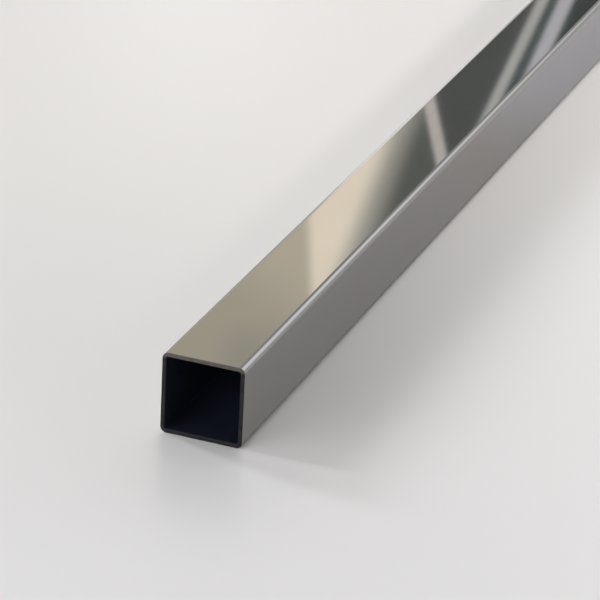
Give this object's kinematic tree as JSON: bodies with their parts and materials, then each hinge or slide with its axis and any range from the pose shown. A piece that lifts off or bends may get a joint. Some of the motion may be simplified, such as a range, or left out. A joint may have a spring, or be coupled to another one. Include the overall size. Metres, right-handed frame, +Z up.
{
  "type": "square metal tube",
  "caption": "Straight thin-walled square tube of polished steel, with rounded corners, an open square bore from end to end and deburred, square-cut ends.",
  "frame": {"origin": "middle of the underside, on the plane that the tube lies on", "axes": "+Y along the tube, from the front cut end to the rear one; +X to the right seen from the front end; +Z up"},
  "size_m": [0.02, 1, 0.02],
  "materials": {
    "polished_steel": "mirror-polished stainless steel outside, sawn at the ends, dark inside"
  },
  "bodies": {
    "root": {"square_tube": "polished_steel"}
  },
  "joints": []
}
